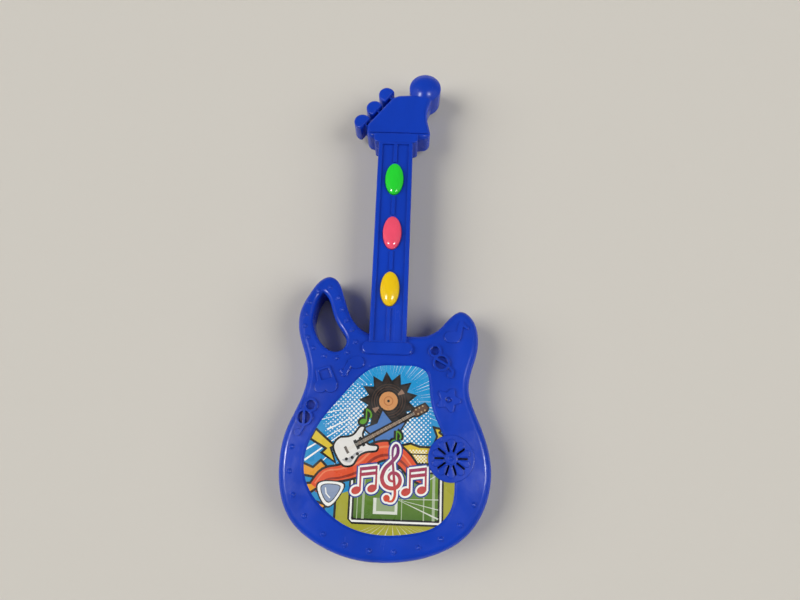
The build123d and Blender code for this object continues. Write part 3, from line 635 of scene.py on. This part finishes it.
def burst_rays(art, centre):
    """White light rays of uneven width, from behind the record out to the label's edge."""
    dice = random.Random(4)
    angle = -20.0
    while angle < 245.0:
        width = dice.choice([0.25, 0.4, 0.7, 1.1, 1.6])
        near, far = dice.uniform(15.0, 19.0), dice.choice([40.0, 60.0, 60.0])
        corners = [(near, angle), (far, angle - width / 2), (far, angle + width / 2)]
        art.shape([(centre[0] + r * math.cos(math.radians(a)), centre[1] + r * math.sin(math.radians(a)))
                   for r, a in corners], WHITE)
        angle += width + dice.uniform(2.2, 7.0)


def halftone(art, corners, pitch, largest, ink, middle, reach):
    """Dots on a diagonal grid inside a box, which shrink away from the middle."""
    (low_x, low_y), (high_x, high_y) = corners
    for row in range(int((high_y - low_y) / pitch * 2)):
        for column in range(int((high_x - low_x) / pitch)):
            x = low_x + (column + 0.5 * (row % 2)) * pitch
            y = low_y + row * pitch / 2
            share = 1 - math.hypot(x - middle[0], y - middle[1]) / reach
            radius = largest * math.sqrt(max(0.0, share))
            if radius > SMALLEST_DOT:
                art.oval((x, y), (radius, radius), ink, corners=8, start=0.5)


def bolts(art):
    """Comic lightning bolts down the left side, and one small one on the right."""
    art.outlined([(-40.5, -6.7), (-28.7, -16.2), (-30.9, -17.5), (-27.8, -25.7), (-36.2, -20.4),
                  (-33.8, -17.9), (-43.5, -12.6)], YELLOW)
    art.outlined([(-48.0, -26.0), (-40.6, -28.8), (-36.2, -24.6), (-31.2, -29.4), (-35.0, -30.4),
                  (-37.4, -34.6), (-48.0, -33.0)], ORANGE)
    art.outlined([(-46.0, -38.0), (-37.6, -37.3), (-36.4, -39.8), (-43.5, -44.5)], ORANGE)
    art.outlined([(-38.5, -47.5), (-31.0, -49.5), (-33.0, -51.5), (-29.5, -57.0), (-38.5, -53.0)], ORANGE)
    art.outlined([(29.6, -3.6), (34.4, -4.6), (33.0, -6.6), (36.0, -8.6), (30.2, -12.4), (31.6, -9.0)],
                 YELLOW)


def stage_screen(art):
    """A green screen in a white frame, on a lime wall with light rays."""
    art.shape([(-26.4, -66.0), (44.0, -66.0), (44.0, -26.0), (25.0, -26.0), (-26.4, -44.0)], LIME)
    art.stroke([(-26.4, -66.0), (-26.4, -42.0)], OUTLINE, BLACK)
    for tilt in range(-5, 7):
        foot = 8.0 + tilt * 6.2
        art.shape([(7.0 + tilt * 1.7, -59.0), (foot - 0.5, -68.0), (foot + 0.5, -68.0)],
                  between(LIME, WHITE, 0.55))
    left, right, low, high = -18.9, 36.0, -59.2, -27.2
    for inset, ink in ((0.0, BLACK), (1.1, WHITE), (2.2, BLACK),
                       (3.3, vertical(-57.0, -30.0, srgb(72, 112, 34), srgb(116, 152, 52)))):
        corner = max(0.4, 2.6 - inset)
        x0, x1, y0, y1 = left + inset, right - inset, low + inset, high - inset
        art.shape([(x0 + corner, y0), (x1 - corner, y0), (x1, y0 + corner), (x1, y1 - corner),
                   (x1 - corner, y1), (x0 + corner, y1), (x0, y1 - corner), (x0, y0 + corner)], ink)
    pale = between(GREEN, WHITE, 0.35)
    for x, width in ((-13.6, 0.5), (-10.2, 1.4), (12.0, 0.5), (24.6, 0.7), (30.2, 1.6)):
        art.stroke([(x, -56.2), (x, -30.2)], width, pale)
    for far, width in (((33.0, -55.0), 0.9), ((33.0, -50.0), 0.5), ((33.0, -44.5), 0.5),
                       ((31.0, -31.5), 0.6)):
        art.stroke([(9.0, -45.0), far], [0.15, width], between(GREEN, WHITE, 0.7))
    art.shape([(-4.4, -53.4), (9.6, -53.4), (9.6, -44.6), (-4.4, -44.6)], between(GREEN, WHITE, 0.75))
    art.shape([(-2.6, -51.8), (8.0, -51.8), (8.0, -44.6), (-2.6, -44.6)], between(GREEN, WHITE, 0.2))


def stage_lights(art):
    """A yellow dotted panel with a ragged edge beside the speaker grille."""
    art.outlined([(11.0, -14.6), (16.0, -13.4), (21.5, -15.2), (30.0, -15.2), (30.0, -24.8), (17.5, -24.8),
                  (12.0, -20.2)], YELLOW)
    halftone(art, ((13.0, -24.0), (28.0, -15.6)), 1.9, 0.62, between(YELLOW, WHITE, 0.8), (22.0, -20.0), 16.0)
    art.stroke([(13.0, -19.4), (28.0, -19.4)], 0.7, BLACK)


def record(art, centre):
    """A vinyl record on a dark comic burst."""
    art.outlined(placed(star_points(13, 16.4, 11.4, 96.0), centre), srgb(44, 32, 30))
    art.oval(centre, (11.2, 11.2), BLACK, corners=48)
    groove, shine = srgb(62, 46, 40), [(6.9, -0.5), (10.6, -1.6), (10.6, 1.6), (6.9, 0.5)]
    for radius, ink in ((10.4, groove), (9.7, BLACK), (8.8, srgb(74, 52, 42)), (8.2, BLACK), (7.4, groove),
                        (6.8, BLACK), (5.6, TAN), (2.9, srgb(188, 116, 66)), (2.3, TAN), (0.8, BLACK)):
        art.oval(centre, (radius, radius), ink, corners=40)
    for turn in (35.0, 215.0):
        art.shape(placed(shine, centre, turn), srgb(150, 118, 98))


def eighth_note(art, origin, size, ink):
    """One note with its flag, on a black outline."""
    stem = [(2.0, 0.3), (2.0, 8.4)]
    flag = smooth([(2.0, 8.2), (4.4, 6.4), (5.2, 4.0), (4.4, 2.2)], closed=False, steps=3)
    for grow, colour in ((OUTLINE, BLACK), (0.0, ink)):
        art.oval(origin, (2.3 * size + grow, 1.7 * size + grow), colour, 20)
        art.stroke(placed(stem, origin, size=size), 0.9 * size + 2 * grow, colour)
        art.stroke(placed(flag, origin, size=size), 1.1 * size + 2 * grow, colour)


def ribbon(art):
    """A red streamer that waves across under the guitar."""
    middle = smooth([(-38.5, -40.0), (-33.0, -33.2), (-24.0, -31.4), (-14.0, -27.6), (-5.0, -19.8),
                     (4.0, -18.0), (12.0, -22.4), (19.0, -30.0), (25.0, -33.0)], closed=False, steps=5)
    widths = [6.5 + 3.6 * math.sin(i / len(middle) * math.pi) ** 2 for i in range(len(middle))]
    art.stroke(middle, [w + 2 * OUTLINE for w in widths], BLACK)
    art.stroke(middle, widths, RED)
    art.stroke([p + Vector((0.4, -2.6)) for p in middle], [w * 0.16 for w in widths], srgb(150, 46, 28))
    art.stroke([p + Vector((-0.3, 2.2)) for p in middle], [w * 0.12 for w in widths], srgb(236, 130, 88))


def pick(art, centre):
    """A big grey-blue guitar pick with a white rim."""
    corners = smooth([(0.0, -7.4), (4.6, -1.6), (6.0, 3.4), (3.0, 5.4), (-3.0, 5.4), (-6.0, 3.4),
                      (-4.6, -1.6)], steps=4)
    for size, ink in ((1.3, BLACK), (1.16, WHITE), (0.9, BLACK), (0.82, GREY)):
        art.shape(placed(corners, centre, PICK_TURN, size), ink)
    art.stroke(placed([(-3.2, 1.6), (0.0, 2.6), (3.2, 1.6)], centre, PICK_TURN), 0.7, WHITE)


def toy_guitar(art, origin, turn):
    """A white cartoon guitar: body, pickups, knobs, brown neck and head, all along its own axis."""
    def at(points):
        return placed(points, origin, turn)
    neck = [(4.0, -1.6), (41.0, -1.3), (41.0, 1.3), (4.0, 1.6)]
    head = [(40.5, -1.6), (42.5, -2.7), (49.5, -2.5), (51.0, -1.0), (50.2, 2.2), (43.5, 2.6), (40.5, 1.6)]
    body = smooth([(-10.5, 0.0), (-9.4, 6.0), (-4.4, 8.4), (0.6, 6.6), (4.4, 6.2), (9.6, 8.4), (12.0, 6.6),
                   (9.0, 3.6), (8.6, 0.0), (9.6, -3.4), (13.6, -6.4), (11.6, -8.8), (6.0, -6.6), (1.0, -6.6),
                   (-4.4, -9.4), (-9.4, -7.0)], steps=4)
    art.outlined(at(body), srgb(232, 230, 226), 1.2)
    shadow = [(-8.6, -3.6), (-5.0, -7.4), (0.0, -5.4), (5.0, -5.2), (1.0, -3.8), (-4.0, -4.6)]
    art.shape(at(smooth(shadow, steps=3)), srgb(186, 186, 188))
    art.outlined(at(neck), BROWN, 1.0)
    art.outlined(at(head), BROWN, 1.0)
    for fret in range(9):
        x = 14.0 + 2.9 * fret
        art.stroke(at([(x, -1.0), (x, 1.0)]), 0.35, srgb(164, 132, 96))
    for peg in range(3):
        for side in (-1.4, 1.4):
            art.oval(at([(43.6 + 2.3 * peg, side)])[0], (0.55, 0.55), srgb(190, 160, 118), corners=8)
    for x in (3.0, 6.6):
        art.shape(at([(x - 0.9, -2.9), (x + 0.9, -2.9), (x + 0.9, 2.9), (x - 0.9, 2.9)]), BLACK)
    art.shape(at([(-4.4, -2.2), (-2.8, -2.2), (-2.8, 2.2), (-4.4, 2.2)]), srgb(98, 90, 84))
    for knob in ((-2.6, -5.4), (1.0, -5.0), (-6.0, -4.6)):
        art.oval(at([knob])[0], (0.95, 0.95), BLACK, corners=10)
    for string in (-0.6, 0.0, 0.6):
        art.stroke(at([(-3.2, string), (42.0, string)]), 0.16, srgb(214, 206, 190))


def clef_parts(art, origin, size, grow, ink):
    """A treble clef: a curl and an upright with a ball at its foot, made thicker by grow on each side."""
    for line, thin, thick in ((spiral_line(), 1.3, 2.5), (spine_line(), 1.1, 1.7)):
        art.stroke(placed(line, origin, 0.0, size), tapered(len(line), thin, thick, size, grow), ink)
    art.oval(placed([(-3.4, -12.0)], origin, 0.0, size)[0], (2.1 * size + grow,) * 2, ink, corners=20)


def tapered(count, thin, thick, size, grow):
    """Widths that swell from thin at both ends to thick half way."""
    swell = [math.sin(math.pi * i / (count - 1)) for i in range(count)]
    return [(thin + (thick - thin) * share) * size + 2 * grow for share in swell]


def spiral_line():
    """The clef's curl, from its middle out and round, then up to where the loop begins."""
    return smooth([(1.2, -1.8), (-1.6, -1.2), (-2.4, 1.4), (-0.4, 3.4), (3.0, 2.6), (4.8, -0.8),
                   (3.4, -4.6), (-0.6, -6.0), (-5.0, -4.2), (-6.8, 0.4), (-5.0, 5.8), (-0.8, 10.2),
                   (2.4, 14.4), (2.8, 18.6), (1.4, 20.6), (-0.4, 18.4), (-0.6, 14.0)],
                  closed=False, steps=5)


def spine_line():
    """The clef's upright, from the loop down to the hook under it."""
    return smooth([(-0.6, 14.0), (0.2, 6.0), (1.2, -3.0), (1.8, -9.6), (0.4, -13.4), (-2.6, -13.8)],
                  closed=False, steps=5)


def beamed_pair(art, origin, size, grow, ink):
    """Two note heads whose stems meet a slanted double beam."""
    def at(points):
        return placed(points, origin, 0.0, size)
    for x, y in ((-4.6, -5.6), (3.6, -4.4)):
        art.oval(at([(x, y)])[0], (2.5 * size + grow, 1.9 * size + grow), ink, 22.0)
        art.stroke(at([(x + 2.0, y - 0.2), (x + 2.0, y + 11.4 + 0.5 * grow)]), 1.0 * size + 2 * grow, ink)
    for y in (5.0, 2.2):
        art.stroke(at([(-3.1, y), (6.1, y + 1.3)]), 1.7 * size + 2 * grow, ink)


def music_signs(art):
    """A treble clef between two beamed pairs, in place of any lettering."""
    fade = vertical(-46.0, -18.0, srgb(214, 74, 38), srgb(112, 40, 112))
    for grow, ink in ((1.9, ROYAL), (1.1, WHITE), (0.0, fade)):
        beamed_pair(art, (-9.6, -34.6), 1.12, grow, ink)
        beamed_pair(art, (19.2, -34.6), 1.12, grow, ink)
        clef_parts(art, (6.2, -33.6), 0.92, grow, ink)


def label_outline():
    """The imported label's top outline, in millimetres, anticlockwise."""
    mesh = frame["nodes"]["picture_label"].data
    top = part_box("picture_label")[1].z
    uses = {}
    for face in mesh.polygons:
        if all(abs(mesh.vertices[v].co.z - top) < SAME_HEIGHT for v in face.vertices):
            for a, b in face.edge_keys:
                key = tuple(sorted((rounded(mesh.vertices[a].co), rounded(mesh.vertices[b].co))))
                uses[key] = uses.get(key, 0) + 1
    beside = {}
    for (a, b), count in uses.items():
        if count == 1:
            beside.setdefault(a, []).append(b)
            beside.setdefault(b, []).append(a)
    start = min(beside)
    loop, before, here = [start], None, start
    while True:
        after = next(p for p in beside[here] if p != before)
        if after == start:
            break
        loop.append(after)
        before, here = here, after
    return loop if signed_area(loop) > 0 else loop[::-1]


def rounded(point):
    """X and Y in millimetres, to a tenth of a micrometre."""
    return (round(point.x / MM, 4), round(point.y / MM, 4))


def draw_label():
    """The whole picture, from the sky forwards."""
    art = Print(label_outline(), vertical(-45.0, 32.0, srgb(20, 138, 196), srgb(16, 152, 216)))
    burst_rays(art, BURST_CENTRE)
    halftone(art, ((-40.0, -24.0), (-6.0, 22.0)), 2.7, 0.84, WHITE, (-12.0, 0.0), 26.0)
    halftone(art, ((10.0, -16.0), (31.0, 18.0)), 2.7, 0.84, WHITE, (12.0, -6.0), 21.0)
    bolts(art)
    stage_screen(art)
    stage_lights(art)
    record(art, BURST_CENTRE)
    art.outlined(placed(star_points(5, 13.6, 7.6, 100.0), (1.0, -7.4)), BLUE, 1.0)
    ribbon(art)
    pick(art, (-29.6, -42.0))
    toy_guitar(art, (-18.4, -16.6), 30.0)
    eighth_note(art, (-12.6, -1.6), 0.9, LEAF)
    eighth_note(art, (6.0, -13.0), 0.8, LEAF)
    music_signs(art)
    return art


def planar_map(shapes):
    """Cuts overlapping shapes into triangles. Returns points and (triangle, its topmost shape) pairs."""
    points, faces = [], []
    for outline, _ in shapes:
        faces.append(list(range(len(points), len(points) + len(outline))))
        points += [Vector(p) for p in outline]
    verts, _, triangles, _, _, owners = delaunay_2d_cdt(points, [], faces, INSIDE_ONLY, CUT_TOLERANCE, True)
    kept = [(tri, max(own)) for tri, own in zip(triangles, owners) if own and 0 in own]
    return verts, kept


def make_label(material):
    """The label as one closed sheet whose top is divided along the print."""
    art = draw_label()
    verts, kept = planar_map(art.shapes)
    low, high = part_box("picture_label")
    used = sorted({v for tri, _ in kept for v in tri})
    index = {v: i for i, v in enumerate(used)}
    count = len(used)
    places = [(verts[v].x * MM, verts[v].y * MM, z) for z in (high.z, low.z) for v in used]
    top = [[index[v] for v in tri] for tri, _ in kept]
    faces = top + [[v + count for v in reversed(tri)] for tri in top]
    open_edges = {}
    for tri in top:
        for a, b in zip(tri, tri[1:] + tri[:1]):
            if (b, a) in open_edges:
                del open_edges[(b, a)]
            else:
                open_edges[(a, b)] = True
    faces += [[a, a + count, b + count, b] for a, b in open_edges]
    mesh = bpy.data.meshes.new("label_print")
    mesh.from_pydata(places, [], faces)
    inks = mesh.color_attributes.new(INK_LAYER, "FLOAT_COLOR", "CORNER")
    for face in mesh.polygons:
        ink = art.shapes[kept[face.index][1]][1] if face.index < len(kept) else plain(PAPER)
        for corner in face.loop_indices:
            co = mesh.vertices[mesh.loops[corner].vertex_index].co
            inks.data[corner].color = ink(co.x / MM, co.y / MM)
    mesh.validate()
    label = bpy.data.objects.new("label_print", mesh)
    bpy.context.scene.collection.objects.link(label)
    wear_finish(label, material)
    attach(label, "root")
    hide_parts("picture_label")


# ---------------------------------------------------------------- floor
def make_floor():
    """A plain pale sheet, larger than the view, just clear of the flat back that lies on it."""
    mesh = bpy.data.meshes.new("floor")
    sides = ((-1, -1), (1, -1), (1, 1), (-1, 1))
    corners = [(x * FLOOR_HALF, y * FLOOR_HALF, FLOOR_HEIGHT) for x, y in sides]
    mesh.from_pydata(corners, [], [(0, 1, 2, 3)])
    floor = bpy.data.objects.new("floor", mesh)
    bpy.context.scene.collection.objects.link(floor)
    s = Shader("floor_finish", srgb(212, 208, 200), 0.9, Specular_IOR_Level=0.2)
    s.bump((s.noise(500, 2.0), 0.00004))
    wear_finish(floor, s.material)


make_camera()
make_lights()
make_floor()
dress_nodes()
dress_small_parts()
make_domes()
make_label(printed_sheet("printed_label_finish"))
